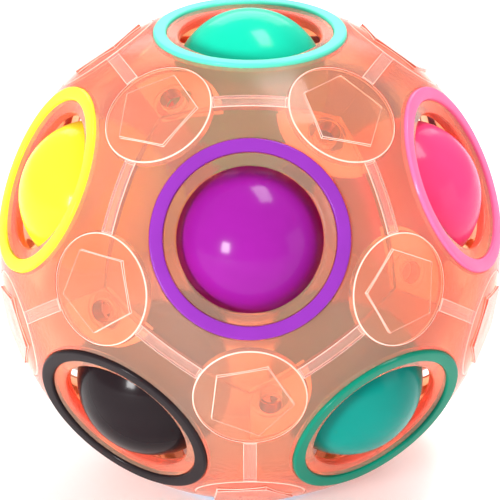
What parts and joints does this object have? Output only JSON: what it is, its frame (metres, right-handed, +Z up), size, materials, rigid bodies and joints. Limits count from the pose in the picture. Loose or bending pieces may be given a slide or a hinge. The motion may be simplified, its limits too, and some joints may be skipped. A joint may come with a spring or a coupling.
{
  "type": "sliding colour ball puzzle",
  "caption": "Round see-through coral puzzle shell whose coloured balls press in and roll between ringed holes to match colours.",
  "frame": {"origin": "centre of the bottom ring's flat face, under the sphere's centre, on the table", "axes": "+Z up through the top hole, -Y towards the front hole's side, +X to the right"},
  "size_m": [0.07, 0.0706, 0.0683],
  "materials": {
    "shell": "see-through coral, frosted fine texture",
    "colour_top": "turquoise, glossy",
    "colour_front": "purple, glossy",
    "colour_right": "pink, glossy",
    "colour_back_right": "blue, glossy",
    "colour_back_left": "red, glossy",
    "colour_left": "yellow, glossy",
    "colour_low_front_right": "teal, glossy",
    "colour_low_right": "orange, glossy",
    "colour_low_back": "lime green, glossy",
    "colour_low_left": "white, glossy",
    "colour_low_front_left": "black, glossy",
    "colour_bottom": "sky blue, glossy",
    "core": "soft, matt"
  },
  "bodies": {
    "shell": {"panel_top": "shell", "panel_front": "shell", "panel_right": "shell", "panel_back_right": "shell", "panel_back_left": "shell", "panel_left": "shell", "panel_low_front_right": "shell", "panel_low_right": "shell", "panel_low_back": "shell", "panel_low_left": "shell", "panel_low_front_left": "shell", "panel_bottom": "shell", "ring_top": "colour_top", "ring_front": "colour_front", "ring_right": "colour_right", "ring_back_right": "colour_back_right", "ring_back_left": "colour_back_left", "ring_left": "colour_left", "ring_low_front_right": "colour_low_front_right", "ring_low_right": "colour_low_right", "ring_low_back": "colour_low_back", "ring_low_left": "colour_low_left", "ring_low_front_left": "colour_low_front_left", "ring_bottom": "colour_bottom", "corner_caps": "shell", "corner_sockets": "shell", "seam_strips": "shell", "core_ball": "core"},
    "ball_top_body": {"ball_top": "colour_top"},
    "ball_front_body": {"ball_front": "colour_front"},
    "ball_right_body": {"ball_right": "colour_right"},
    "ball_back_right_body": {"ball_back_right": "colour_back_right"},
    "ball_back_left_body": {"ball_back_left": "colour_back_left"},
    "ball_left_body": {"ball_left": "colour_left"},
    "ball_low_front_right_body": {"ball_low_front_right": "colour_low_front_right"},
    "ball_low_right_body": {"ball_low_right": "colour_low_right"},
    "ball_low_back_body": {"ball_low_back": "colour_low_back"},
    "ball_low_left_body": {"ball_low_left": "colour_low_left"},
    "ball_low_front_left_body": {"ball_low_front_left": "colour_low_front_left"}
  },
  "joints": [
    {"name": "press_top", "type": "slide", "parent": "shell", "child": "ball_top_body", "axis": [0, 0, 1], "range_m": [-0.0025, 0.0012], "stiffness_N_per_m": 300, "deforming": ["core_ball"]},
    {"name": "press_front", "type": "slide", "parent": "shell", "child": "ball_front_body", "axis": [0, -0.8944, 0.4472], "range_m": [-0.0025, 0.0012], "stiffness_N_per_m": 300, "deforming": ["core_ball"]},
    {"name": "press_right", "type": "slide", "parent": "shell", "child": "ball_right_body", "axis": [0.8507, -0.2764, 0.4472], "range_m": [-0.0025, 0.0012], "stiffness_N_per_m": 300, "deforming": ["core_ball"]},
    {"name": "press_back_right", "type": "slide", "parent": "shell", "child": "ball_back_right_body", "axis": [0.5257, 0.7236, 0.4472], "range_m": [-0.0025, 0.0012], "stiffness_N_per_m": 300, "deforming": ["core_ball"]},
    {"name": "press_back_left", "type": "slide", "parent": "shell", "child": "ball_back_left_body", "axis": [-0.5257, 0.7236, 0.4472], "range_m": [-0.0025, 0.0012], "stiffness_N_per_m": 300, "deforming": ["core_ball"]},
    {"name": "press_left", "type": "slide", "parent": "shell", "child": "ball_left_body", "axis": [-0.8507, -0.2764, 0.4472], "range_m": [-0.0025, 0.0012], "stiffness_N_per_m": 300, "deforming": ["core_ball"]},
    {"name": "press_low_front_right", "type": "slide", "parent": "shell", "child": "ball_low_front_right_body", "axis": [0.5257, -0.7236, -0.4472], "range_m": [-0.0025, 0.0012], "stiffness_N_per_m": 300, "deforming": ["core_ball"]},
    {"name": "press_low_left", "type": "slide", "parent": "shell", "child": "ball_low_left_body", "axis": [-0.8507, 0.2764, -0.4472], "range_m": [-0.0025, 0.0012], "stiffness_N_per_m": 300, "deforming": ["core_ball"]},
    {"name": "press_low_front_left", "type": "slide", "parent": "shell", "child": "ball_low_front_left_body", "axis": [-0.5257, -0.7236, -0.4472], "range_m": [-0.0025, 0.0012], "stiffness_N_per_m": 300, "deforming": ["core_ball"]},
    {"name": "roll_low_back", "type": "hinge", "parent": "shell", "child": "ball_low_back_body", "pos_m": [0, 0.05504, -0.05616], "axis": [1, 0, 0], "range_deg": [0, 17.73], "deforming": ["core_ball"]},
    {"name": "roll_low_right", "type": "hinge", "parent": "shell", "child": "ball_low_right_body", "pos_m": [0.05235, 0.01701, -0.05616], "axis": [-0.309, 0.9511, 0], "range_deg": [-17.73, 0], "deforming": ["core_ball"]}
  ]
}
